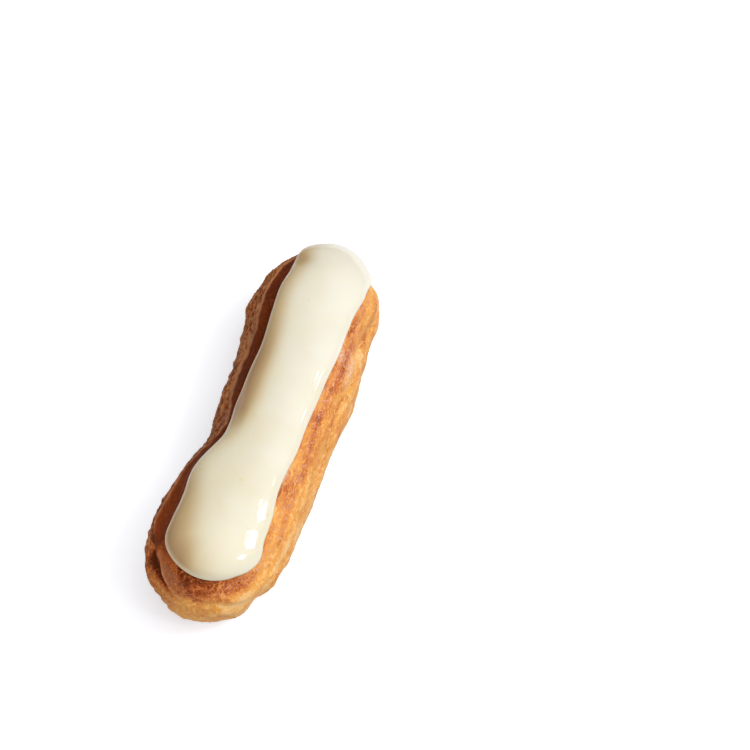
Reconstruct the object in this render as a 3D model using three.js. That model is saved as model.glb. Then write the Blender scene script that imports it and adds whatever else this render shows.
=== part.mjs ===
// A vanilla eclair: a bun of choux pastry piped in ridges, and the poured vanilla icing on its crown.
// Millimetres, +Z up. The long axis is X, and the end with the broad round tip of icing is at +X. Left is -Y
// and right is +Y. The origin is on the surface that the eclair rests on, under the middle of its box.
import * as THREE from "three";
import { mergeVertices } from "three/addons/utils/BufferGeometryUtils.js";

const { clamp, degToRad, lerp, mapLinear, radToDeg, seededRandom, smoothstep } = THREE.MathUtils;

// Driving dimensions of the bun. Its inner line runs at the waist, where it is widest.
const BUN_LENGTH = 129.6;
const BUN_HEIGHT = 31;
const WAIST_LEVEL = 14;
const END_LENGTH = 20;
const BASE_BULGE = 17.5;
const BASE_FILLET = 2;

// The flat that it rests on, with straight sides: where its middle line lies, half its width, and the share of
// the underside that it takes up. From its edge the underside rises to the foot of the flanks and ends.
const FLAT = { middle: 3, halfWidth: 11.2, share: 0.82 };
const FOOT_RISE = 0.5;

// The icing: its thickness, how far in its rim is rounded, the share of its thickness that stands upright at
// the rim, and the clearance to the crust under it.
const ICING_THICKNESS = 2.5;
const ICING_RIM = 3.2;
const RIM_STEP = 0.35;
const SEAT_GAP = 0.3;

const HALF_STRAIGHT = BUN_LENGTH / 2 - END_LENGTH;
const CROWN = BUN_HEIGHT - WAIST_LEVEL;

// The bun along X: where each flank lies, and how high the crown is as a share of its rise. The left flank
// pinches in at the middle and swells again towards the round tip, and the right flank is uneven.
const BUN_STATIONS = [
  { x: -45, left: -17.8, right: 22.0, crown: 0.97 },
  { x: -38, left: -18.6, right: 21.6, crown: 1.0 },
  { x: -30, left: -17.8, right: 23.0, crown: 1.0 },
  { x: -22, left: -16.0, right: 24.2, crown: 0.99 },
  { x: -16, left: -15.0, right: 24.6, crown: 0.98 },
  { x: -10, left: -14.8, right: 23.9, crown: 0.97 },
  { x: -3, left: -15.0, right: 23.6, crown: 0.96 },
  { x: 5, left: -14.4, right: 22.8, crown: 0.95 },
  { x: 13, left: -13.0, right: 22.8, crown: 0.96 },
  { x: 20, left: -15.2, right: 23.0, crown: 0.99 },
  { x: 28, left: -17.6, right: 23.5, crown: 1.01 },
  { x: 36, left: -17.4, right: 23.4, crown: 1.01 },
  { x: 44, left: -18.0, right: 21.4, crown: 0.98 },
];

// The icing along X: the angles from straight up at which its left and right edges lie, in degrees.
const ICING_STATIONS = [
  { x: -46, left: -29, right: 52 },
  { x: -34, left: -29, right: 49 },
  { x: -24, left: -32, right: 45 },
  { x: -15, left: -34, right: 41 },
  { x: -6, left: -34, right: 42 },
  { x: 2, left: -33, right: 42 },
  { x: 7, left: -36, right: 42 },
  { x: 12, left: -36, right: 41 },
  { x: 17, left: -32, right: 41 },
  { x: 22, left: -36, right: 41 },
  { x: 30, left: -40, right: 43 },
  { x: 42, left: -36, right: 50 },
  { x: 56, left: -36, right: 56 },
];

// The seam between the upper and the lower ridge of piped dough: the angle above the waist at which it runs
// along each flank, in degrees. The upper ridge leans over it, so its upper wall is the steeper one.
const FLANK_SEAM = [
  { x: -45, left: 27, right: 7 },
  { x: -34, left: 28, right: 17 },
  { x: -22, left: 37, right: 21 },
  { x: -7, left: 35, right: 23 },
  { x: 8, left: 36, right: 12 },
  { x: 23, left: 37, right: 9 },
  { x: 44, left: 38, right: 5 },
];
const SEAM_WIDTH = 7;
const SEAM_DEPTH = 1.3;
const UPPER_WALL = 0.75;

// The same seam round the tip end, by bearing from the long axis, in degrees. Its left half opens into a
// fold, where the last of the dough was turned over, and its right half is a faint line.
const TIP_SEAM = [
  { bearing: -90, level: 38, width: 7, depth: 1.3 },
  { bearing: -60, level: 36, width: 10, depth: 1.7 },
  { bearing: -40, level: 34, width: 9, depth: 2.0 },
  { bearing: -28, level: 29, width: 7, depth: 2.0 },
  { bearing: -19, level: 26, width: 6, depth: 1.8 },
  { bearing: -9, level: 21, width: 5, depth: 1.2 },
  { bearing: 8, level: 18, width: 5, depth: 0.6 },
  { bearing: 28, level: 14, width: 5, depth: 0.5 },
  { bearing: 49, level: 5, width: 5, depth: 0.6 },
  { bearing: 90, level: 5, width: 7, depth: 1.3 },
];

// A wide dent below the waist, where the tip end meets the right flank.
const DENT = { bearing: 64, width: 14, depth: 2.2, top: 16 };

// A shallow dimple in the icing, near the corner where it turns down over the far end.
const DIMPLE = { along: -51, angle: -17, radius: 4, depth: 0.8 };

// Broad lumps of the risen dough: a sum of plane waves with fixed random headings and lengths.
const LUMP_WAVES = 14;
const LUMP_HEIGHT = 0.07;
const LUMP_LENGTHS = [9, 26];
const LUMP_SEED = 7;

// The grids of squares that the two skins are made of, and the middle share of each that runs straight.
const BUN_GRID = { segments: [50, 22, 22], straight: 0.65 };
const ICING_GRID = { segments: [48, 12, 2], straight: 0.75 };

// Where the straight part of the icing's outline starts and ends, and how long its two round ends are.
const ICING_RUN = { from: -54, to: 49, farEnd: 14, tipEnd: 12.5 };
const ICING_HALF_WIDTH = 14;

// A smooth curve through one column of a list of stations.
function curveThrough(stations, column, along = "x") {
  const places = stations.map((station) => station[along]);
  const values = stations.map((station) => station[column]);
  const curve = new THREE.CubicInterpolant(places, values, 1);
  return (place) => curve.evaluate(clamp(place, places[0], places.at(-1)))[0];
}

const leftFlank = curveThrough(BUN_STATIONS, "left");
const rightFlank = curveThrough(BUN_STATIONS, "right");
const crownShare = curveThrough(BUN_STATIONS, "crown");
const icingLeft = curveThrough(ICING_STATIONS, "left");
const icingRight = curveThrough(ICING_STATIONS, "right");
const leftSeam = curveThrough(FLANK_SEAM, "left");
const rightSeam = curveThrough(FLANK_SEAM, "right");
const tipSeamLevel = curveThrough(TIP_SEAM, "level", "bearing");
const tipSeamWidth = curveThrough(TIP_SEAM, "width", "bearing");
const tipSeamDepth = curveThrough(TIP_SEAM, "depth", "bearing");

function lumpWaves() {
  seededRandom(LUMP_SEED);
  const draw = (low, high) => lerp(low, high, seededRandom());
  return Array.from({ length: LUMP_WAVES }, () => {
    const length = draw(...LUMP_LENGTHS);
    const heading = new THREE.Vector3(draw(-1, 1), draw(-1, 1), draw(-1, 1)).normalize();
    return {
      vector: heading.multiplyScalar((2 * Math.PI) / length),
      phase: draw(0, 2 * Math.PI),
      height: (LUMP_HEIGHT * length) / LUMP_LENGTHS[0],
    };
  });
}

const waves = lumpWaves();

// How high the dough stands at a point because of its lumps. Under the icing the crown is smooth.
function lump(point, direction) {
  const uncovered = 1 - smoothstep(direction.z, 0.6, 0.85);
  const heights = waves.map((wave) => wave.height * Math.sin(wave.vector.dot(point) + wave.phase));
  return uncovered * heights.reduce((total, height) => total + height, 0);
}

// A groove's depth as a share, from one at its middle to nothing about two widths away.
function groove(away) {
  return Math.exp(-((away > 0 ? away / UPPER_WALL : away) ** 2));
}

// How deep the seam cuts. Round the end away from the tip it joins the seams of the two flanks.
function seam(x, direction) {
  const level = radToDeg(Math.asin(direction.z));
  const bearing = radToDeg(Math.atan2(direction.y, Math.abs(direction.x)));
  if (direction.x > 0) {
    return tipSeamDepth(bearing) * groove((level - tipSeamLevel(bearing)) / tipSeamWidth(bearing));
  }
  const flankLevel = mapLinear(bearing, -90, 90, leftSeam(x), rightSeam(x));
  return SEAM_DEPTH * groove((level - flankLevel) / SEAM_WIDTH);
}

function dent(direction) {
  const bearing = radToDeg(Math.atan2(direction.y, direction.x));
  const level = radToDeg(Math.asin(direction.z));
  const below = smoothstep(-level, -DENT.top, DENT.top);
  return DENT.depth * below * Math.exp(-(((bearing - DENT.bearing) / DENT.width) ** 2));
}

// How far the crust lies from the inner line along a direction: round in plan, and in section an oval with
// squarer lower corners.
function reach(x, direction) {
  const halfWidth = (rightFlank(x) - leftFlank(x)) / 2;
  const rise = direction.z > 0 ? CROWN * crownShare(x) : BASE_BULGE;
  const power = lerp(2.15, 2.4, smoothstep(-direction.z, -0.2, 0.6));
  const plan = Math.hypot(direction.x / END_LENGTH, direction.y / halfWidth);
  return Math.pow(Math.pow(plan, power) + Math.pow(Math.abs(direction.z) / rise, power), -1 / power);
}

// Dough below the resting surface is pressed flat against it, with a small fillet round the foot.
function pressedFlat(z) {
  if (z < -BASE_FILLET) return 0;
  return z > BASE_FILLET ? z : (z + BASE_FILLET) ** 2 / (4 * BASE_FILLET);
}

// The point of the crust that lies in a direction from the inner line at x.
function crustPoint(x, direction) {
  const centre = new THREE.Vector3(x, (leftFlank(x) + rightFlank(x)) / 2, WAIST_LEVEL);
  const point = centre.addScaledVector(direction, reach(x, direction));
  const relief = lump(point, direction) - seam(x, direction) - dent(direction);
  point.addScaledVector(direction, relief);
  point.z = pressedFlat(point.z);
  return point;
}

// A place on the crown, given by its distance along the bun and its angle from straight up, in radians. Past
// the straight part the distance bends down round the end.
function crownPoint(along, angle) {
  const x = clamp(along, -HALF_STRAIGHT, HALF_STRAIGHT);
  const bend = (along - x) / END_LENGTH;
  const direction = new THREE.Vector3(
    Math.sin(bend) * Math.cos(angle),
    Math.sin(angle),
    Math.cos(bend) * Math.cos(angle),
  );
  return crustPoint(x, direction);
}

function crownNormal(along, angle) {
  const stepAlong = 1.2;
  const stepAngle = 0.06;
  const lengthwise = crownPoint(along + stepAlong, angle).sub(crownPoint(along - stepAlong, angle));
  const crosswise = crownPoint(along, angle + stepAngle).sub(crownPoint(along, angle - stepAngle));
  return lengthwise.cross(crosswise).normalize();
}

// A closed grid of squares, the skin of a box from -1 to 1, whose corners are moved to their real places.
function shapedBox(segments, place) {
  const box = new THREE.BoxGeometry(2, 2, 2, ...segments);
  box.deleteAttribute("normal");
  box.deleteAttribute("uv");
  const skin = mergeVertices(box, 1e-5);
  const corners = skin.getAttribute("position");
  const corner = new THREE.Vector3();
  for (let i = 0; i < corners.count; i += 1) {
    corner.fromBufferAttribute(corners, i);
    corners.setXYZ(i, ...place(corner).toArray());
  }
  skin.computeVertexNormals();
  return skin;
}

// How far along a grid's straight part a corner lies, from -1 to 1, and how far into its end part.
function alongGrid(grid, x) {
  const middle = clamp(x, -grid.straight, grid.straight);
  return { run: middle / grid.straight, past: (x - middle) / (1 - grid.straight) };
}

// The bun's ends are wrapped like a cube blown up to a ball, an eighth of a turn to each side of its face.
function bunPlace(corner) {
  const { run, past } = alongGrid(BUN_GRID, corner.x);
  const eighth = Math.PI / 4;
  const direction = new THREE.Vector3(
    Math.tan(past * eighth),
    Math.tan(corner.y * eighth),
    Math.tan(corner.z * eighth),
  );
  const point = crustPoint(run * HALF_STRAIGHT, direction.normalize());
  return corner.z > -1 ? point : underside(point, corner.y, past);
}

// Moves a point of the underside: inside the flat it goes onto the resting surface, in straight rows.
function underside(point, aside, past) {
  const beside = clamp((Math.abs(aside) - FLAT.share) / (1 - FLAT.share), 0, 1);
  const outside = Math.max(beside, Math.abs(past));
  const straight = FLAT.middle + (aside / FLAT.share) * FLAT.halfWidth;
  point.y = lerp(straight, point.y, outside);
  point.z = outside > 0 ? Math.max(point.z, FOOT_RISE * outside) : 0;
  return point;
}

// The icing's outline has round ends: there the grid's square is drawn in to a disc.
function icingPlace(corner) {
  const { run, past } = alongGrid(ICING_GRID, corner.x);
  const across = Math.sin((corner.y * Math.PI) / 2);
  const round = past * Math.sqrt(1 - across ** 2 / 2);
  const aside = across * Math.sqrt(1 - past ** 2 / 2);
  const endLength = past < 0 ? ICING_RUN.farEnd : ICING_RUN.tipEnd;
  const along = mapLinear(run, -1, 1, ICING_RUN.from, ICING_RUN.to) + round * endLength;
  const angle = degToRad(mapLinear(aside, -1, 1, icingLeft(along), icingRight(along)));
  const top = ICING_THICKNESS * rimShare(Math.hypot(round, aside)) - dimple(along, angle);
  const lift = mapLinear(corner.z, -1, 1, 0, top);
  return crownPoint(along, angle).addScaledVector(crownNormal(along, angle), SEAT_GAP + lift);
}

// The icing's thickness as a share, rising in a round shoulder from its edge, where outward is one.
function rimShare(outward) {
  const climb = clamp(((1 - outward) * ICING_HALF_WIDTH) / ICING_RIM, 0, 1);
  return lerp(RIM_STEP, 1, Math.sqrt(1 - (1 - climb) ** 2));
}

function dimple(along, angle) {
  const aside = (angle - degToRad(DIMPLE.angle)) * CROWN;
  return DIMPLE.depth * Math.exp(-((Math.hypot(along - DIMPLE.along, aside) / DIMPLE.radius) ** 2));
}

const crust = new THREE.MeshStandardMaterial({ color: 0xb8702f, roughness: 0.6, metalness: 0 });
const glaze = new THREE.MeshStandardMaterial({ color: 0xf0e6c4, roughness: 0.18, metalness: 0 });

const bun = new THREE.Mesh(shapedBox(BUN_GRID.segments, bunPlace), crust);
bun.name = "choux_bun";

const icing = new THREE.Mesh(shapedBox(ICING_GRID.segments, icingPlace), glaze);
icing.name = "vanilla_icing";

const eclair = new THREE.Group();
eclair.add(bun, icing);

// The middle of the box goes over the origin.
const middle = new THREE.Box3().setFromObject(eclair).getCenter(new THREE.Vector3());
bun.position.set(-middle.x, -middle.y, 0);
icing.position.copy(bun.position);

export default eclair;
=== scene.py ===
# The looks of a vanilla eclair: the baked crust's relief and browning, the poured icing, and soft light.
# Metres, +Z up. The bun runs along X: the icing's round tip at +X, the dark flank at -Y, the lit one at +Y.
import math

import bmesh
import bpy
import numpy as np
from mathutils import Matrix, Vector, noise
from mathutils.bvhtree import BVHTree
from mathutils.kdtree import KDTree


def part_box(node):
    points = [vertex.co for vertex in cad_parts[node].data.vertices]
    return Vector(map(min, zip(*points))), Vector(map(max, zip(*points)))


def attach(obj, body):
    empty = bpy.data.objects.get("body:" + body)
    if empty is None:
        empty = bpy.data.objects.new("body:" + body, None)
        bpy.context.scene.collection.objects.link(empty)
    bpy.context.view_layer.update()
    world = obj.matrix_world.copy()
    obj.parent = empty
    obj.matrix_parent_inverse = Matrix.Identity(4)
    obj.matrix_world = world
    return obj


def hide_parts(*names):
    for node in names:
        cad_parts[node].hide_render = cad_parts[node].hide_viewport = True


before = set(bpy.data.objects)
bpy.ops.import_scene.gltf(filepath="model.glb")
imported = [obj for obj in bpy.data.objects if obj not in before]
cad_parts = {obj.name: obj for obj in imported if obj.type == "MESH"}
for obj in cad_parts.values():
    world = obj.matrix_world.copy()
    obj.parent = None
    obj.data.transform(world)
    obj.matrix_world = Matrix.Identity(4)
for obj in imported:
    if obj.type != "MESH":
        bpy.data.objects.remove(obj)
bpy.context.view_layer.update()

MM = 0.001
ROUNDING_LEVELS = 2

# The bun's frame. Its inner line runs at the waist, and its ends turn round the two ends of that line.
WAIST_LEVEL = 14 * MM
END_LENGTH = 20 * MM
HALF_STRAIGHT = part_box("choux_bun")[1].x - END_LENGTH

# How far the way out from that line leans to a flank or an end where a point starts to belong to it, and
# where it belongs to it wholly.
FLANK_LEAN = (0.15, 0.65)
END_LEAN = (0.15, 0.6)

# Where the noises start, so that they don't rise and fall together.
SEED = Vector((3.1, 7.7, 1.9))

# How far the crust's forms stand out, and how deep its pits and its grain are, in millimetres.
RELIEF = {
    "lumps": 0.17,
    "swells": 0.2,
    "streaks": 0.1,
    "knobs": 0.45,
    "left_knobs": 0.25,
    "band_ridge": 0.2,
    "crease_bridge": 0.5,
    "pits": 0.6,
    "grain": 0.08,
}

# How large the forms are. The ones that are drawn out along the bun have a length and a width.
FORM_SIZE = {"lumps": 4.5 * MM, "swells": 8 * MM, "knobs": 2.6 * MM, "pits": 1.6 * MM, "grain": 0.85 * MM}
STREAK_SIZE = (9 * MM, 1.6 * MM)
RED_STREAK_SIZE = (10 * MM, 1.8 * MM)

# How much lower the lumps and the streaks are on the left flank's dark band, and on the right flank.
CALMER = {"lumps": (0.5, 0.3), "streaks": (0.9, 0.7)}

# How many degrees above the waist things run, by place along the bun in millimetres: the foot of the left
# flank's dark band, and the middle of the right flank's red, glossy streak.
BAND_FOOT = {-47: 44, -35: 43, -24: 45, -19: 36, -14: 32, -3: 34, 4: 48, 10: 50, 14: 44, 18: 30, 46: 29}
STREAK = {-48: 35, -40: 31, -34: 29, -29: 31, -22: 38, -4: 40, 4: 37, 12: 36, 21: 34, 28: 31, 46: 29}

# How many degrees the band's foot wanders up and down, and how large its turns are.
BAND_WANDER = 1.6
BAND_WANDER_SIZE = 2.5 * MM

# The level of the solid's crease along the right flank, by place along the bun. The crust bridges it softly.
FLANK_CREASE = {-51: 12, -45: 10, -34: 20, -26: 23, -4: 23, 2: 19, 8: 15, 22: 12, 35: 10}

# How much darker the streak is than the crust beside it, by place along the bun.
STREAK_TONE = {
    -48: 0.1,
    -42: 0.14,
    -36: 0.34,
    -30: 0.42,
    0: 0.36,
    15: 0.32,
    24: 0.2,
    34: 0.26,
    48: 0.1,
}

# Paler and darker spots on the right flank: each its place along, its level, its radius in millimetres, and
# how much paler it is, below zero where it is darker.
TONE_SPOTS = (
    (39, 13, 1.2, 0.35),
    (31, -1, 1.2, 0.35),
    (38, 12, 6, 0.16),
    (-4, 14, 5, -0.16),
    (-38, 8, 6, -0.08),
)

# The painted sheen on the right flank, whitish hazy patches: each its place along, its level, and half its
# length and width in millimetres.
PAINTED_SHEEN_PATCHES = (
    (-24, 42, 2.2, 1.6),
    (-21, 28, 5, 1.4),
    (-9.5, 50, 2, 1.2),
    (-30, 44, 3, 1),
    (22, 49, 5, 1),
)

# How many millimetres of the right flank one degree of level covers.
MM_PER_DEGREE = 0.32

# Where the left wall bulges and shows less of its stretched skin: from where to where along the bun that
# grows, and how much less there is.
WALL_BULBS = ((14, 26, 0.5), (-20, -35, 0.4), (43, 50, 0.4))

# The fold at the tip, by bearing from the long axis in degrees: the level of its valley, and its depth in
# millimetres. The solid has a wider groove above it, which the turned-over tongue of dough fills.
VALLEY_LEVEL = {-90: 27, -74: 24, -57: 23, -42: 26, -31: 22, -23: 18, -15: 15, 26: 15, 36: 10, 49: 4, 90: 2}
VALLEY_DEPTH = {
    -90: 0.2,
    -66: 1.8,
    -45: 2.5,
    -31: 1.9,
    -20: 0.9,
    -10: 0.3,
    0: 0.12,
    50: 0.3,
    75: 0.0,
}
GROOVE_LEVEL = {-90: 38, -60: 36, -40: 34, -28: 29, -19: 26, -9: 21, 8: 18}
GROOVE_WIDTH = {-90: 7, -60: 10, -40: 9, -28: 7, -19: 6, -9: 5}
GROOVE_FILL = {-75: 0.0, -60: 1.3, -40: 1.8, -28: 1.8, -19: 1.6, -9: 0.9, 0: 0.2, 10: 0.0}

# The crest over the valley: its height as a share of the valley's depth, how far over it, and how wide.
CREST = {"share": 0.12, "over": 10, "width": 4}

# How far the darker crust reaches from the icing round the tip, partly browner bake and partly painted
# contact shade, in millimetres by the same bearing.
BURNT_AND_SHADED_REACH = {-60: 2.5, -30: 4, -10: 6, 40: 6, 70: 4}

# How dark the crust is baked, from 0, pale, to 1, chocolate. A pair goes from the waist to the bulb beside
# the tip on the left flank, and from low to high on the right flank and the far end.
BAKE = {
    "left_wall": (0.44, 0.6),
    "left_band": (0.97, 0.88),
    "left_foot": 0.36,
    "right_flank": (0.23, 0.4),
    "far_end": (0.32, 0.7),
}

# How much darker it is in a pit, high on the left wall beside the tip and at the base, and how uneven.
DARKER = {"pits": 0.5, "tip_shoulder": 0.45, "base": 0.22, "uneven": 0.16}

# How dark the tip is baked. A pair goes from the left flank round to the front. Beside the icing it is
# partly painted contact shade. The valley's figure is painted shade, darker than the crust beside it, and
# the patch at the rim's right is paler by its own.
TIP_BAKE = {
    "tongue": (0.95, 0.42),
    "rim": (0.62, 0.28),
    "left_by_icing": (0.74, 0.84),
    "right": 0.1,
    "right_by_icing": 0.62,
    "valley": 0.75,
    "pale_patch": 0.25,
}

# The gap between the icing and the crust in the solids, and how deep the icing's underside is let in.
SEAT_GAP = 0.3 * MM
SEAT_SINK = 1.2 * MM

# The dimple in the icing, near the corner where it turns down over the far end.
DIMPLE = Vector((-51.5, -6.8)) * MM
DIMPLE_RADIUS = 3.2 * MM

# How far the icing's left shoulder sinks, and how much painted shade its colour gets there, from 0 to 1
# by place along the bun, and how many millimetres in from its edge that reaches.
THIN_AND_SHADED_SHOULDER = {-54: 0.5, -30: 0.6, -12: 0.94, 6: 0.98, 14: 0.45, 24: 0.12, 34: 0.58, 50: 0.9}
THIN_AND_SHADED_REACH = {-50: 8, -30: 8, -10: 11, 8: 13, 18: 8, 26: 7, 36: 10, 50: 15}

# How high the icing's ripples stand, how deep its dimple is and how far its shoulder sank, in millimetres.
ICING_RELIEF = {"ripples": 0.09, "dimple": 0.4, "drained": 0.45}
RIPPLE_SIZE = 11 * MM

# The painted reflection along the icing's left edge, a paler lip, in millimetres: its width, how much
# wider it is at the waist, where along the bun that is, and how far along it reaches.
PAINTED_REFLECTION_LIP = {"width": 1.2, "wider": 1.8, "waist": 5, "reach": 6}

# Where the icing's edge is drawn in, in millimetres: the place along the bun, how far along that reaches,
# and how far the edge moves.
TIP_EDGE = {"along": 47, "reach": 6, "move": 1.4}
WAIST_EDGE = {"along": 9, "reach": 5, "move": 0.8}


# Curves

# Figures beside a level, a bearing, or a height over a line of the bun are degrees in the calls below. Figures
# beside a place along or across the bun, or a distance from the icing or its edge, are millimetres.

def along_stations(stations, place):
    return float(np.interp(place, list(stations), list(stations.values())))


def smoothstep(value, low, high):
    share = min(max((value - low) / (high - low), 0.0), 1.0)
    return share * share * (3 - 2 * share)


def bump(value, middle, width):
    return math.exp(-(((value - middle) / width) ** 2))


def lopsided_bump(value, middle, below, above):
    """A bump with one width below its middle and another above it."""
    return bump(value, middle, above if value > middle else below)


def between(first, second, share):
    return first + (second - first) * share


def soft_noise(point, size, softness, octaves):
    return noise.fractal(point / size, softness, 2.0, octaves)


def drawn_out_noise(point, length, width):
    return noise.noise(Vector((point.x / length, point.y / width, point.z / width)))


# Meshes

def mesh_piece(name, mesh):
    piece = bpy.data.objects.new(name, mesh)
    bpy.context.scene.collection.objects.link(piece)
    return piece


def copy_of_node(node_name, name):
    """The node's solid as a new piece of squares, with its loose triangles joined."""
    solid = bmesh.new()
    solid.from_mesh(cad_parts[node_name].data)
    bmesh.ops.remove_doubles(solid, verts=solid.verts, dist=0.01 * MM)
    bmesh.ops.join_triangles(
        solid, faces=solid.faces, angle_face_threshold=math.pi, angle_shape_threshold=math.pi
    )
    mesh = bpy.data.meshes.new(name)
    solid.to_mesh(mesh)
    solid.free()
    return mesh_piece(name, mesh)


def tree_of(node_name):
    """The node's solid, ready to be asked for its nearest point."""
    solid = bmesh.new()
    solid.from_mesh(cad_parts[node_name].data)
    tree = BVHTree.FromBMesh(solid)
    solid.free()
    return tree


def round_off(piece):
    """Rounds a piece with a subdivision surface and keeps the result as its mesh."""
    modifier = piece.modifiers.new("rounding", "SUBSURF")
    modifier.levels = modifier.render_levels = ROUNDING_LEVELS
    graph = bpy.context.evaluated_depsgraph_get()
    rounded = bpy.data.meshes.new_from_object(piece.evaluated_get(graph))
    piece.modifiers.clear()
    piece.data = rounded
    rounded.shade_smooth()


def add_mask(piece, name, values):
    mask = piece.data.attributes.new(name, "FLOAT", "POINT")
    mask.data.foreach_set("value", np.asarray(values, np.float32))


def kept_in_box(point, low, high):
    return Vector(min(max(c, a), b) for c, a, b in zip(point, low, high))


# The crust

class CrustPlace:
    """Where a point lies on the bun: along it, round it, and how far it is from the icing."""

    def __init__(self, point, middles, icing_tree):
        self.along = point.x / MM
        inner = Vector((min(max(point.x, -HALF_STRAIGHT), HALF_STRAIGHT), 0, WAIST_LEVEL))
        inner.y = float(np.interp(inner.x, *middles))
        outward = (point - inner).normalized()
        self.level = math.degrees(math.asin(outward.z))
        self.bearing = math.degrees(math.atan2(outward.y, outward.x))
        self.left = smoothstep(-outward.y, *FLANK_LEAN)
        self.right = smoothstep(outward.y, *FLANK_LEAN)
        self.tip = smoothstep(outward.x, *END_LEAN)
        self.far_end = smoothstep(-outward.x, *END_LEAN)
        self.icing_away = icing_tree.find_nearest(point)[3] / MM
        wander = BAND_WANDER * noise.noise(point / BAND_WANDER_SIZE)
        self.over_band = self.level - along_stations(BAND_FOOT, self.along) + wander
        self.over_streak = self.level - along_stations(STREAK, self.along)
        self.over_crease = self.level - along_stations(FLANK_CREASE, self.along)
        self.over_valley = self.level - along_stations(VALLEY_LEVEL, self.bearing)


def waist_middles(mesh, stations=40):
    """The middle of the bun's width at places along it, as two lists."""
    places = np.array([v.co for v in mesh.vertices])
    edges = np.linspace(places[:, 0].min(), places[:, 0].max(), stations + 1)
    bins = np.digitize(places[:, 0], edges[1:-1])
    middles = [
        (places[bins == i, 1].min() + places[bins == i, 1].max()) / 2 for i in range(stations)
    ]
    return (edges[:-1] + edges[1:]) / 2, middles


def stretch_pits(point, size, stretch, seed):
    """Oval pits between ridges of skin, as in dough that stretched as it baked: 1 in a pit, 0 on a ridge."""
    wander = noise.noise_vector(point / (size * 1.7) + seed) * 0.35
    place = Vector((point.x / (size * stretch), point.y / size, point.z / size)) + seed + wander
    near, second = noise.voronoi(place)[0][:2]
    return smoothstep(second - near, 0.04, 0.26)


def tip_fold(place):
    """The tongue of dough turned over at the tip, and the valley beside it, in millimetres."""
    end = smoothstep(place.tip, 0.0, 0.5)
    away = place.level - along_stations(GROOVE_LEVEL, place.bearing)
    width = along_stations(GROOVE_WIDTH, place.bearing)
    fill = along_stations(GROOVE_FILL, place.bearing) * lopsided_bump(away, 0, width, 0.75 * width)
    depth = along_stations(VALLEY_DEPTH, place.bearing)
    valley = depth * lopsided_bump(place.over_valley, 1, 6, 4.2)
    crest = CREST["share"] * depth * bump(place.over_valley, CREST["over"], CREST["width"])
    return end * (fill + crest - valley)


def calmed(form, band, place):
    """How much of a form is left where the crust is calmer, as a share."""
    on_band, on_right = CALMER[form]
    return 1 - on_band * band - on_right * place.right


def crust_relief(point, place):
    """How far the crust stands out, in millimetres, and how much it is pitted and grained there."""
    below_band = smoothstep(place.over_band, -1, -5)
    band = place.left * smoothstep(place.over_band, -1, 4)
    off_fold = 1 - place.tip * bump(place.over_valley, 2, 12)
    pitted = stretch_pits(point, FORM_SIZE["pits"], 1.5, SEED)
    pitted *= place.left * below_band * off_fold + 0.06 * place.right + 0.1 * place.tip * off_fold
    pitted = min(pitted, 1)
    grained = stretch_pits(point, FORM_SIZE["grain"], 1.6, SEED * 2)
    grained *= 0.3 + 0.5 * place.right + 0.3 * place.tip
    streaks = drawn_out_noise(point, *STREAK_SIZE)
    lumps = soft_noise(point, FORM_SIZE["lumps"], 0.6, 3)
    swells = noise.noise(point / FORM_SIZE["swells"] + SEED * 3)
    knobs = max(noise.noise(point / FORM_SIZE["knobs"] + SEED * 5), 0) * smoothstep(place.level, 32, 12)
    height = RELIEF["lumps"] * lumps * calmed("lumps", band, place) + RELIEF["swells"] * swells
    height += RELIEF["streaks"] * streaks * calmed("streaks", band, place)
    height += (RELIEF["knobs"] + RELIEF["left_knobs"] * place.left) * knobs
    height += RELIEF["band_ridge"] * place.left * (1 - place.tip) * bump(place.over_band, -2.5, 1.6)
    height += RELIEF["crease_bridge"] * place.right * (1 - place.tip) * bump(place.over_crease, 0, 5)
    height -= RELIEF["pits"] * pitted + RELIEF["grain"] * grained * (1 - 0.8 * band)
    return height + tip_fold(place), pitted, grained


def stretched_skin_and_sheen_share(place):
    """How much of the stretched skin's dull colour there is, partly pale dough and partly painted sheen: all
    over the left wall below its dark band, less on its bulbs and round the tip, none in the fold's valley,
    and most of it again on the tongue."""
    bulbs = sum(share * smoothstep(place.along, start, end) for start, end, share in WALL_BULBS)
    wall = place.left * smoothstep(place.over_band, 2.5, 0) * (1 - 0.6 * place.tip) * (1 - bulbs)
    in_valley = bump(place.over_valley, 1, 6) * place.tip
    tongue = 0.85 * place.tip * bump(place.bearing, -32, 22) * smoothstep(place.over_valley, 3.5, 8)
    tongue *= smoothstep(place.icing_away, 1.5, 4)
    return max(wall * (1 - in_valley), tongue)


def spot_paleness(place):
    """How much paler the spots on the right flank make a place."""
    return sum(
        paleness * bump(math.hypot(place.along - along, (place.level - level) * MM_PER_DEGREE), 0, radius)
        for along, level, radius, paleness in TONE_SPOTS
    )


def right_flank_tone(point, place):
    """The lit flank: honey below, orange above, and the red streak between, all drawn out along the bun."""
    drawn = drawn_out_noise(point, *RED_STREAK_SIZE)
    core = bump(place.over_streak + 2.5 * drawn, 0, 3.6)
    streak = along_stations(STREAK_TONE, place.along) * (0.5 * core + 0.6 * bump(place.over_streak, 1, 8))
    flank = between(*BAKE["right_flank"], smoothstep(place.over_streak, 2, 9))
    return flank + streak + 0.2 * drawn - spot_paleness(place)


def painted_sheen_share(place):
    """How much of the painted whitish sheen there is at a place, from 0 to 1."""
    spots = (
        bump(place.along, along, length) * bump(place.level * MM_PER_DEGREE, level * MM_PER_DEGREE, width)
        for along, level, length, width in PAINTED_SHEEN_PATCHES
    )
    return place.right * min(sum(spots), 1)


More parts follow.
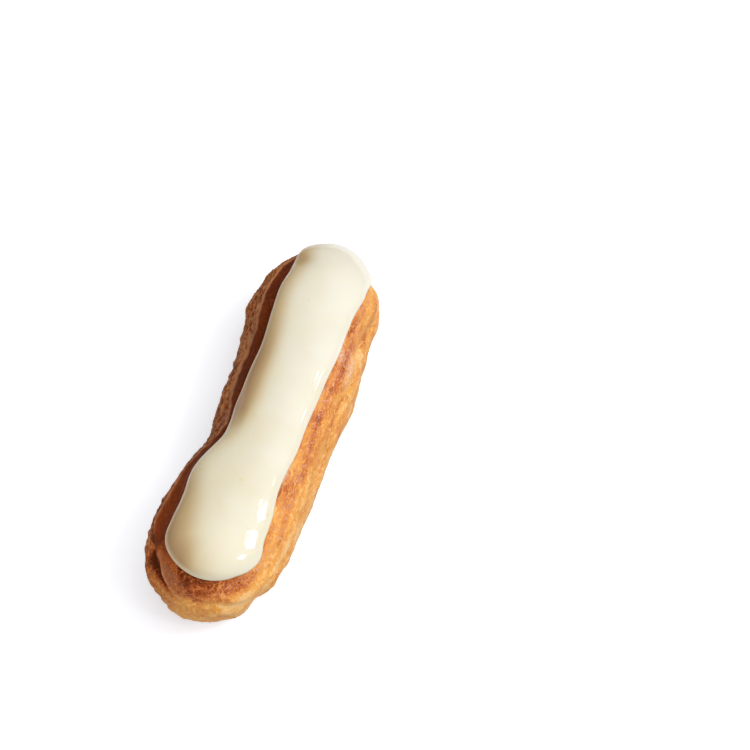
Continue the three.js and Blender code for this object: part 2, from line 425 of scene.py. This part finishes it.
def tip_tone(place):
    """The round end: beside the icing a browner bake and painted contact shade, golden at its rim, and
    painted shade in the valley beside the tongue.
    """
    reach = along_stations(BURNT_AND_SHADED_REACH, place.bearing)
    # Partly painted contact shade: the crust darkens towards the icing, as well as baking browner there.
    by_icing = smoothstep(place.icing_away, reach * 1.5, reach * 0.6)
    tongue = between(*TIP_BAKE["tongue"], smoothstep(place.bearing, -74, -46))
    rim = between(*TIP_BAKE["rim"], smoothstep(place.bearing, -60, 0))
    burnt_and_shaded = between(*TIP_BAKE["left_by_icing"], smoothstep(place.bearing, -25, -5))
    left = between(between(rim, tongue, smoothstep(place.over_valley, 0, 5)), burnt_and_shaded, by_icing)
    right = between(TIP_BAKE["right"], TIP_BAKE["right_by_icing"], by_icing)
    right -= TIP_BAKE["pale_patch"] * bump(place.bearing, 38, 14) * bump(place.level, 6, 9)
    folded = smoothstep(place.bearing, -75, -62) * smoothstep(place.bearing, -10, -34)
    # Painted shade in the fold's valley.
    valley = TIP_BAKE["valley"] * folded * lopsided_bump(place.over_valley, 0.5, 6, 4.5)
    return between(left, right, smoothstep(place.bearing, 5, 48)) + valley


def left_flank_tone(place, pitted, band):
    """The shaded flank: brown on its stretched wall, darker in the pits, and chocolate on its band."""
    bulb = smoothstep(place.along, 14, 26)
    wall = between(*BAKE["left_wall"], bulb * smoothstep(place.level, 8, 20)) + DARKER["pits"] * pitted
    wall += DARKER["tip_shoulder"] * smoothstep(place.along, 42, 50) * smoothstep(place.level, 20, 27)
    return between(wall, between(*BAKE["left_band"], bulb), band)


def crust_browning(point, place, pitted):
    """How dark the crust is baked, from 0, pale, to 1, chocolate."""
    band = smoothstep(place.over_band, -1.5, 1.5)
    left_tone = left_flank_tone(place, pitted, band)
    right_tone = right_flank_tone(point, place)
    tone = between(left_tone, right_tone, smoothstep(place.right - place.left, -0.6, 0.6))
    tone = between(tone, tip_tone(place), place.tip)
    far_tone = between(*BAKE["far_end"], smoothstep(place.level, 12, 32))
    tone = between(tone, far_tone, place.far_end * (1 - place.left) * (1 - place.right))
    tone = between(tone, BAKE["left_foot"], smoothstep(place.level, 12, -12) * place.left)
    base = smoothstep(place.level, -25, -52)
    uneven = DARKER["uneven"] * soft_noise(point, 7 * MM, 0.7, 3)
    return tone + DARKER["base"] * base + uneven * (1 - 0.8 * band * place.left)


def choux_crust_piece(icing_tree):
    """The baked bun, with its relief, which fades out below the icing and at the flat base."""
    piece = copy_of_node("choux_bun", "choux_crust")
    middles = waist_middles(piece.data)
    round_off(piece)
    low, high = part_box("choux_bun")
    masks = {"browning": [], "streak": [], "painted_sheen": [], "wall": [], "grained": [], "band": []}
    normals = [v.normal.copy() for v in piece.data.vertices]
    for vertex, normal in zip(piece.data.vertices, normals):
        place = CrustPlace(vertex.co, middles, icing_tree)
        height, pitted, grained = crust_relief(vertex.co, place)
        open_air = smoothstep(place.icing_away, 0.4, 1.6)
        above_foot = smoothstep(vertex.co.z / MM, 0.1, 1.5)
        masks["browning"].append(crust_browning(vertex.co, place, pitted))
        masks["streak"].append(place.right * bump(place.over_streak, 1, 5))
        masks["painted_sheen"].append(painted_sheen_share(place))
        masks["wall"].append(stretched_skin_and_sheen_share(place) * (1 - 0.8 * pitted))
        masks["grained"].append(grained)
        masks["band"].append(place.left * smoothstep(place.over_band, -2.5, 1.5))
        moved = vertex.co + normal * height * MM * open_air * above_foot
        vertex.co = kept_in_box(moved, low, high)
    for name, values in masks.items():
        add_mask(piece, name, values)
    return piece


# The icing

def rim_tree(mesh):
    """The points of the icing's edge, where its side stands upright."""
    upright = [v.co for v in mesh.vertices if abs(v.normal.z) < 0.25]
    tree = KDTree(len(upright))
    for number, point in enumerate(upright):
        tree.insert(point, number)
    tree.balance()
    return tree


def let_into_crust(piece, crust_tree):
    """Moves the icing's underside into the crust, so that no gap shows."""
    for vertex in piece.data.vertices:
        nearest, _, _, away = crust_tree.find_nearest(vertex.co)
        if away < 1.5 * SEAT_GAP:
            vertex.co = nearest + (nearest - vertex.co).normalized() * SEAT_SINK


# Painted shade: besides sinking the shoulder, this share darkens and browns the icing's colour there.
def drained_and_shaded_share(along, across, from_edge):
    """How far the icing drained off its left shoulder and the left of its tip, from 0 to 1."""
    shoulder = along_stations(THIN_AND_SHADED_SHOULDER, along) * smoothstep(across, 5, -5)
    tip = 0.5 * smoothstep(along, 46, 55) * smoothstep(across, 9, -3)
    reach = along_stations(THIN_AND_SHADED_REACH, along)
    return max(shoulder, tip) * smoothstep(from_edge, reach, 1.8) * smoothstep(from_edge, -0.6, 1.6)


def painted_reflection_share(along, across, from_edge):
    """How much of the painted reflection, the paler lip, there is at a place, from 0 to 1."""
    width = PAINTED_REFLECTION_LIP["width"] + PAINTED_REFLECTION_LIP["wider"] * bump(along, PAINTED_REFLECTION_LIP["waist"], PAINTED_REFLECTION_LIP["reach"])
    left_edge = smoothstep(across, 2, -3) * (1 - 0.5 * smoothstep(along, 35, 50))
    return left_edge * smoothstep(from_edge, width + 0.6, width - 0.6)


def edge_move(edge, along):
    """How far the icing's edge is drawn in, at a place along the bun."""
    return edge["move"] * MM * bump(along, edge["along"], edge["reach"])


def icing_piece(crust_tree):
    """The poured icing: soft ripples, a dimple, a thin left shoulder, painted shade and reflection."""
    piece = copy_of_node("vanilla_icing", "poured_icing")
    let_into_crust(piece, crust_tree)
    round_off(piece)
    low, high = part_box("vanilla_icing")
    rim = rim_tree(piece.data)
    painted_shade, painted_reflection = [], []
    normals = [v.normal.copy() for v in piece.data.vertices]
    for vertex, normal in zip(piece.data.vertices, normals):
        skin = smoothstep(crust_tree.find_nearest(vertex.co)[3] / MM, 0.6, 2.0)
        from_edge = rim.find(vertex.co)[2] / MM
        along, across = vertex.co.x / MM, vertex.co.y / MM
        drained = drained_and_shaded_share(along, across, from_edge)
        dimple = bump((vertex.co.xy - DIMPLE).length, 0, DIMPLE_RADIUS)
        # Painted shade, kept as a mask: on the sunk shoulder and in the dimple.
        painted_shade.append(min(drained + 0.35 * dimple, 1))
        painted_reflection.append(painted_reflection_share(along, across, from_edge))
        height = ICING_RELIEF["ripples"] * soft_noise(vertex.co, RIPPLE_SIZE, 0.8, 2)
        height -= ICING_RELIEF["dimple"] * dimple
        height -= ICING_RELIEF["drained"] * drained
        moved = vertex.co + normal * height * MM * skin
        moved.x -= edge_move(TIP_EDGE, along) * smoothstep(across, 6, 12)
        moved.y += edge_move(WAIST_EDGE, along) * smoothstep(across, -2, -6)
        vertex.co = kept_in_box(moved, low, high)
    add_mask(piece, "painted_shade", painted_shade)
    add_mask(piece, "painted_reflection", painted_reflection)
    return piece


# Materials

# The crust's colours by how dark it is baked, as they look on a screen, from 0 to 255.
BAKED_COLOURS = {
    0.0: (246, 200, 138),
    0.2: (240, 169, 76),
    0.4: (223, 149, 82),
    0.6: (199, 112, 56),
    0.8: (154, 72, 30),
    1.0: (98, 39, 5),
}
STRETCHED_SKIN_AND_SHEEN = (164, 114, 84)
PAINTED_SHEEN_COLOUR = (242, 204, 174)
PAINTED_GLINT_COLOUR = (226, 176, 164)

# The icing's colours: where it is lit and where it turns away, which is painted shade, its vanilla specks,
# its painted shade, lighter and darker, and its painted reflection along the left edge.
ICING_COLOURS = {
    "lit": (234, 231, 216),
    "turned_away": (227, 220, 191),
    "vanilla": (224, 206, 140),
    "painted_shade": (219, 199, 152),
    "painted_dark_shade": (168, 134, 98),
    "painted_reflection": (196, 172, 154),
}


def new_material(name):
    material = bpy.data.materials.new(name)
    material.use_nodes = True
    return material, material.node_tree


def node(tree, kind, **settings):
    made = tree.nodes.new(kind)
    for name, value in settings.items():
        setattr(made, name, value)
    return made


def link(tree, source, target):
    tree.links.new(source, target)


def math_node(tree, operation, *values, clamp=False):
    made = node(tree, "ShaderNodeMath", operation=operation, use_clamp=clamp)
    for socket, value in zip(made.inputs, values):
        if isinstance(value, (int, float)):
            socket.default_value = value
        else:
            link(tree, value, socket)
    return made.outputs[0]


def weighted_sum(tree, start, *terms):
    """A socket's value plus other sockets, each times its weight."""
    total = start
    for socket, weight in terms:
        total = math_node(tree, "MULTIPLY_ADD", socket, weight, total)
    return total


def mask_node(tree, name):
    return node(tree, "ShaderNodeAttribute", attribute_name=name).outputs["Fac"]


def linear(red, green, blue):
    """A colour seen on a screen, from 0 to 255, as the share of light that it returns."""
    shares = [c / 255 for c in (red, green, blue)]
    return tuple(c / 12.92 if c <= 0.04045 else ((c + 0.055) / 1.055) ** 2.4 for c in shares)


def colour_ramp(tree, factor, stops):
    ramp = node(tree, "ShaderNodeValToRGB")
    elements = ramp.color_ramp.elements
    while len(elements) < len(stops):
        elements.new(0.5)
    for element, (position, colour) in zip(elements, stops.items()):
        element.position = position
        element.color = (*linear(*colour), 1)
    link(tree, factor, ramp.inputs["Fac"])
    return ramp.outputs["Color"]


def mixed_colour(tree, factor, first, second):
    mix = node(tree, "ShaderNodeMix", data_type="RGBA")
    for socket, value in ((mix.inputs[0], factor), (mix.inputs[6], first), (mix.inputs[7], second)):
        if isinstance(value, tuple):
            socket.default_value = (*value, 1)
        else:
            link(tree, value, socket)
    return mix.outputs[2]


def pattern_group(name, inputs, outputs):
    """An empty node group with a Vector and numbers going in, and masks coming out."""
    group = bpy.data.node_groups.new(name, "ShaderNodeTree")
    group.interface.new_socket("Vector", in_out="INPUT", socket_type="NodeSocketVector")
    for label, value in inputs.items():
        socket = group.interface.new_socket(label, in_out="INPUT", socket_type="NodeSocketFloat")
        socket.default_value = value
    for label in outputs:
        group.interface.new_socket(label, in_out="OUTPUT", socket_type="NodeSocketFloat")
    given = group.nodes.new("NodeGroupInput").outputs
    return group, given, group.nodes.new("NodeGroupOutput").inputs


def noise_of(tree, vector, size, detail, distortion=0.0):
    cloud = node(tree, "ShaderNodeTexNoise")
    cloud.inputs["Detail"].default_value = detail
    cloud.inputs["Distortion"].default_value = distortion
    link(tree, vector, cloud.inputs["Vector"])
    link(tree, math_node(tree, "DIVIDE", 1.0, size), cloud.inputs["Scale"])
    return cloud.outputs["Fac"]


def mottling_group():
    """Soft patches and fine speckles, from about -0.5 to 0.5, with their sizes in metres."""
    sizes = {"Patch Size": 5 * MM, "Speckle Size": 1 * MM}
    group, given, put = pattern_group("mottling", sizes, ("Patches", "Speckles"))
    patches = noise_of(group, given["Vector"], given["Patch Size"], 3)
    speckles = noise_of(group, given["Vector"], given["Speckle Size"], 2)
    link(group, math_node(group, "SUBTRACT", patches, 0.5), put["Patches"])
    link(group, math_node(group, "SUBTRACT", speckles, 0.5), put["Speckles"])
    return group


def specks_group():
    """Scattered round specks, 1 inside one and 0 outside. Size is their spacing, Share how many show."""
    sizes = {"Size": 2 * MM, "Radius": 0.15, "Share": 0.5}
    group, given, put = pattern_group("specks", sizes, ("Specks",))
    scattered = node(group, "ShaderNodeTexVoronoi")
    link(group, given["Vector"], scattered.inputs["Vector"])
    link(group, math_node(group, "DIVIDE", 1.0, given["Size"]), scattered.inputs["Scale"])
    inside = math_node(group, "DIVIDE", scattered.outputs["Distance"], given["Radius"])
    inside = math_node(group, "MULTIPLY_ADD", inside, -2.0, 2.0, clamp=True)
    parts = node(group, "ShaderNodeSeparateColor")
    link(group, scattered.outputs["Color"], parts.inputs["Color"])
    kept = math_node(group, "LESS_THAN", parts.outputs["Red"], given["Share"])
    link(group, math_node(group, "MULTIPLY", inside, kept), put["Specks"])
    return group


def veins_group():
    """Thin wandering lines, 1 along a line and 0 beside it, where a soft noise passes its middle value."""
    group, given, put = pattern_group("veins", {"Size": 2 * MM, "Width": 0.05}, ("Veins",))
    field = noise_of(group, given["Vector"], given["Size"], 1, distortion=0.6)
    away = math_node(group, "ABSOLUTE", math_node(group, "SUBTRACT", field, 0.5))
    line = math_node(group, "DIVIDE", away, given["Width"])
    link(group, math_node(group, "SUBTRACT", 1.0, line, clamp=True), put["Veins"])
    return group


def placed_group(tree, group, vector, **values):
    made = node(tree, "ShaderNodeGroup", node_tree=group)
    for name, value in values.items():
        made.inputs[name.replace("_", " ")].default_value = value
    link(tree, vector, made.inputs["Vector"])
    return made.outputs


def crust_material(mottling, specks, veins):
    """Baked choux. Its patterns are drawn out along the bun, and nearly gone on the smooth, dark band."""
    material, tree = new_material("choux_crust")
    shader = tree.nodes["Principled BSDF"]
    place = node(tree, "ShaderNodeTexCoord").outputs["Object"]
    stretch = node(tree, "ShaderNodeVectorMath", operation="MULTIPLY")
    link(tree, place, stretch.inputs[0])
    stretch.inputs[1].default_value = (0.55, 1, 1)
    drawn_out = stretch.outputs["Vector"]
    mottles = placed_group(tree, mottling, drawn_out, Patch_Size=2.8 * MM, Speckle_Size=0.6 * MM)
    pores = placed_group(tree, specks, drawn_out, Size=1.7 * MM, Radius=0.2, Share=0.4)["Specks"]
    flecks = placed_group(tree, veins, drawn_out, Size=1.2 * MM, Width=0.05)["Veins"]
    wrinkles = placed_group(tree, veins, place, Size=5 * MM, Width=0.026)["Veins"]
    band = mask_node(tree, "band")
    off_band = math_node(tree, "MULTIPLY_ADD", band, -0.85, 1.0)
    broken = math_node(tree, "MULTIPLY_ADD", mottles["Patches"], 6.0, 0.5, clamp=True)
    flecks = math_node(tree, "MULTIPLY", flecks, off_band)
    wrinkles = math_node(tree, "MULTIPLY", math_node(tree, "MULTIPLY", wrinkles, off_band), broken)
    patches = math_node(tree, "MULTIPLY", mottles["Patches"], off_band)
    tone = weighted_sum(
        tree,
        mask_node(tree, "browning"),
        (patches, 0.8),
        (mottles["Speckles"], 0.26),
        (mask_node(tree, "grained"), 0.1),
        (pores, 0.22),
        (flecks, -0.3),
        (wrinkles, -0.3),
    )
    colour = colour_ramp(tree, tone, BAKED_COLOURS)
    # Partly painted sheen: the stretched skin's colour is pale dough greyed by a painted sheen.
    wall = math_node(tree, "MULTIPLY", mask_node(tree, "wall"), 0.75)
    colour = mixed_colour(tree, wall, colour, linear(*STRETCHED_SKIN_AND_SHEEN))
    # Painted sheen: whitish hazy patches on the right flank.
    painted_sheen_amount = math_node(tree, "MULTIPLY_ADD", mottles["Speckles"], 3.0, 0.6, clamp=True)
    painted_sheen_amount = math_node(tree, "MULTIPLY", painted_sheen_amount, mask_node(tree, "painted_sheen"))
    colour = mixed_colour(tree, painted_sheen_amount, colour, linear(*PAINTED_SHEEN_COLOUR))
    # Glossy specks along the red streak: the coat makes them shine, and a painted glint pales their colour.
    gloss_and_painted_glints = math_node(tree, "MULTIPLY_ADD", mottles["Speckles"], 7.0, -0.2, clamp=True)
    gloss_and_painted_glints = math_node(tree, "MULTIPLY", gloss_and_painted_glints, mask_node(tree, "streak"))
    painted_glints = math_node(tree, "MULTIPLY", gloss_and_painted_glints, 0.6)
    colour = mixed_colour(tree, painted_glints, colour, linear(*PAINTED_GLINT_COLOUR))
    link(tree, colour, shader.inputs["Base Color"])
    link(tree, math_node(tree, "MULTIPLY_ADD", band, 0.3, 0.5), shader.inputs["Roughness"])
    shader.inputs["Specular IOR Level"].default_value = 0.12
    link(tree, math_node(tree, "MULTIPLY", gloss_and_painted_glints, 0.5), shader.inputs["Coat Weight"])
    shader.inputs["Coat Roughness"].default_value = 0.25
    height = weighted_sum(tree, mottles["Speckles"], (flecks, 0.35), (wrinkles, 0.5), (pores, -0.8))
    relief = node(tree, "ShaderNodeBump")
    relief.inputs["Strength"].default_value = 0.6
    relief.inputs["Distance"].default_value = 0.25 * MM
    link(tree, height, relief.inputs["Height"])
    link(tree, relief.outputs["Normal"], shader.inputs["Normal"])
    return material


def icing_material(mottling, specks):
    """Ivory icing, wet and smooth, a little yellower to the left and the tip, browner in painted shade."""
    material, tree = new_material("vanilla_icing")
    shader = tree.nodes["Principled BSDF"]
    place = node(tree, "ShaderNodeTexCoord").outputs["Object"]
    mottles = placed_group(tree, mottling, place, Patch_Size=14 * MM, Speckle_Size=2 * MM)
    vanilla = placed_group(tree, specks, place, Size=7 * MM, Radius=0.12, Share=0.5)["Specks"]
    parts = node(tree, "ShaderNodeSeparateXYZ")
    link(tree, place, parts.inputs["Vector"])
    # Painted shade: the colour turns from lit to turned away towards the left and the tip.
    share = math_node(tree, "MULTIPLY_ADD", mottles["Patches"], 1.4, 0.5)
    share = weighted_sum(tree, share, (parts.outputs["X"], 5.0), (parts.outputs["Y"], -16.0))
    share = math_node(tree, "MINIMUM", math_node(tree, "MAXIMUM", share, 0.0), 1.0)
    icing = {name: linear(*colour) for name, colour in ICING_COLOURS.items()}
    colour = mixed_colour(tree, share, icing["lit"], icing["turned_away"])
    vanilla = math_node(tree, "MULTIPLY", vanilla, 0.4)
    colour = mixed_colour(tree, vanilla, colour, icing["vanilla"])
    # Painted shade on the left shoulder and in the dimple: yellower at first, browner where it is deepest.
    painted_shade = mask_node(tree, "painted_shade")
    painted_shade_light_share = math_node(tree, "MULTIPLY", painted_shade, 1.5, clamp=True)
    colour = mixed_colour(tree, painted_shade_light_share, colour, icing["painted_shade"])
    painted_shade_dark_share = math_node(tree, "POWER", painted_shade, 2.0)
    colour = mixed_colour(tree, painted_shade_dark_share, colour, icing["painted_dark_shade"])
    # Painted reflection: a paler, greyer lip along the icing's left edge.
    painted_reflection = math_node(tree, "MULTIPLY", mask_node(tree, "painted_reflection"), 0.5)
    colour = mixed_colour(tree, painted_reflection, colour, icing["painted_reflection"])
    link(tree, colour, shader.inputs["Base Color"])
    shader.inputs["Roughness"].default_value = 0.05
    shader.inputs["Subsurface Weight"].default_value = 0.3
    shader.inputs["Subsurface Radius"].default_value = (1.0, 0.5, 0.2)
    shader.inputs["Subsurface Scale"].default_value = 3 * MM
    return material


def dress(piece, material):
    piece.data.materials.clear()
    piece.data.materials.append(material)


# The studio

PHOTO_SIDE = 750
VIEW = {"azimuth": 108.1, "elevation": 58.0, "lens": 70.0, "sensor": 36.0, "distance": 443.5 * MM}
AIM = Vector((0, 0, 15 * MM))
AIM_PIXEL = (269, 424)

# The room: dim warm light from all round, and a broad white glow. The glow's middle is a bearing and a
# height in degrees, and fade is how soon it falls off from there.
ROOM = {"colour": (1.0, 0.85, 0.7), "strength": 0.22}
GLOW = {"from": (110, 62), "colour": (0.98, 1.0, 1.05), "strength": 2.04, "fade": 6.0}

# The panes of the window that the icing mirrors: bearing, height and roll in degrees, width and height in
# metres.
PANES = (
    (105.0, 43, 12, 0.13, 0.4),
    (114.5, 47, 14, 0.15, 0.42),
    (124.0, 54, 0, 0.09, 0.14),
    (79.0, 47, 0, 0.15, 0.2),
)
PANE_DISTANCE = 1.2
PANE_POWER_PER_AREA = 34

# A broad light beyond the tip, which the icing doesn't mirror.
FRONT_FILL = {
    "bearing": 0,
    "elevation": 34,
    "roll": 0,
    "distance": 1.3,
    "width": 0.9,
    "height": 0.6,
    "power": 3.9,
}

# The table's colour and its own glow, as it is seen and as it throws light back on the eclair.
TABLE_COLOUR = {"seen": (0.72, 0.75, 0.8), "thrown": (0.4, 0.39, 0.37)}
TABLE_GLOW = {"seen": (0.49, 0.5, 0.515), "thrown": (0.0, 0.0, 0.0)}
TABLE_SIZE = 30


def photo_camera():
    """The camera stands where the photograph's did, so that the aim point falls on its pixel."""
    azimuth, elevation = math.radians(VIEW["azimuth"]), math.radians(VIEW["elevation"])
    back = Vector((
        math.sin(azimuth) * math.cos(elevation),
        -math.cos(azimuth) * math.cos(elevation),
        math.sin(elevation),
    ))
    right = Vector((math.cos(azimuth), math.sin(azimuth), 0))
    up = back.cross(right)
    pixels = VIEW["lens"] / VIEW["sensor"] * PHOTO_SIDE
    aside = (AIM_PIXEL[0] - PHOTO_SIDE / 2) / pixels
    below = (AIM_PIXEL[1] - PHOTO_SIDE / 2) / pixels
    data = bpy.data.cameras.new("photo_camera")
    data.lens, data.sensor_width = VIEW["lens"], VIEW["sensor"]
    camera = bpy.data.objects.new("photo_camera", data)
    turned = Matrix((right, up, back)).transposed().to_4x4()
    stand = AIM + VIEW["distance"] * (back - right * aside + up * below)
    camera.matrix_world = Matrix.Translation(stand) @ turned
    bpy.context.scene.collection.objects.link(camera)
    bpy.context.scene.camera = camera


def direction(bearing, elevation):
    """The way from the eclair to a place round it, by its bearing from +X and its height, in degrees."""
    turn, rise = math.radians(bearing), math.radians(elevation)
    return Vector((math.cos(turn) * math.cos(rise), math.sin(turn) * math.cos(rise), math.sin(rise)))


def soft_light(name, bearing, elevation, roll, distance, width, height, power):
    """A rectangular light that faces the eclair from a direction and a distance, rolled about its middle."""
    towards = direction(bearing, elevation)
    data = bpy.data.lights.new(name, "AREA")
    data.shape = "RECTANGLE"
    data.size, data.size_y, data.energy = width, height, power
    light = bpy.data.objects.new(name, data)
    turned = towards.to_track_quat("Z", "Y").to_matrix() @ Matrix.Rotation(math.radians(roll), 3, "Z")
    light.location = towards * distance
    light.rotation_euler = turned.to_euler()
    light.visible_camera = False
    bpy.context.scene.collection.objects.link(light)
    return light


def soft_room():
    """Dim warm light from all round, and a broad white glow that fades away from its middle."""
    world = bpy.data.worlds.new("soft_room")
    world.use_nodes = True
    tree = world.node_tree
    dim = tree.nodes["Background"]
    dim.inputs["Color"].default_value = (*ROOM["colour"], 1)
    dim.inputs["Strength"].default_value = ROOM["strength"]
    ray = node(tree, "ShaderNodeTexCoord").outputs["Generated"]
    facing = node(tree, "ShaderNodeVectorMath", operation="DOT_PRODUCT")
    link(tree, ray, facing.inputs[0])
    facing.inputs[1].default_value = direction(*GLOW["from"])
    towards = math_node(tree, "MAXIMUM", facing.outputs["Value"], 0.0)
    fade = math_node(tree, "POWER", towards, GLOW["fade"])
    glow = node(tree, "ShaderNodeBackground")
    glow.inputs["Color"].default_value = (*GLOW["colour"], 1)
    link(tree, math_node(tree, "MULTIPLY", fade, GLOW["strength"]), glow.inputs["Strength"])
    both = node(tree, "ShaderNodeAddShader")
    link(tree, dim.outputs[0], both.inputs[0])
    link(tree, glow.outputs[0], both.inputs[1])
    link(tree, both.outputs[0], tree.nodes["World Output"].inputs["Surface"])
    bpy.context.scene.world = world


def table_material():
    """A white table that glows a little, so that only a pale contact shadow shows on it. It throws less
    light back up than it shows, as a table among darker things does, so the shaded flank keeps its depth."""
    material, tree = new_material("pale_table")
    shader = tree.nodes["Principled BSDF"]
    thrown = node(tree, "ShaderNodeLightPath").outputs["Is Diffuse Ray"]
    colour = mixed_colour(tree, thrown, TABLE_COLOUR["seen"], TABLE_COLOUR["thrown"])
    glow = mixed_colour(tree, thrown, TABLE_GLOW["seen"], TABLE_GLOW["thrown"])
    link(tree, colour, shader.inputs["Base Color"])
    link(tree, glow, shader.inputs["Emission Color"])
    shader.inputs["Roughness"].default_value = 0.7
    shader.inputs["Emission Strength"].default_value = 1
    return material


def pale_table():
    """A table so wide that its edge is out of sight."""
    table = bmesh.new()
    bmesh.ops.create_grid(table, x_segments=1, y_segments=1, size=TABLE_SIZE)
    mesh = bpy.data.meshes.new("pale_table")
    table.to_mesh(mesh)
    table.free()
    return mesh_piece("pale_table", mesh)


def studio():
    soft_room()
    bpy.context.scene.view_settings.view_transform = "Standard"
    for number, (bearing, elevation, roll, width, height) in enumerate(PANES, 1):
        power = PANE_POWER_PER_AREA * width * height
        soft_light(f"pane_{number}", bearing, elevation, roll, PANE_DISTANCE, width, height, power)
    fill = soft_light("front_fill", **FRONT_FILL)
    fill.visible_glossy = False

    floor = pale_table()
    dress(floor, table_material())


# The whole scene

mottling = mottling_group()
specks = specks_group()

crust = choux_crust_piece(tree_of("vanilla_icing"))
dress(crust, crust_material(mottling, specks, veins_group()))
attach(crust, "root")
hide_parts("choux_bun")

icing = icing_piece(tree_of("choux_bun"))
dress(icing, icing_material(mottling, specks))
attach(icing, "root")
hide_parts("vanilla_icing")

photo_camera()
studio()
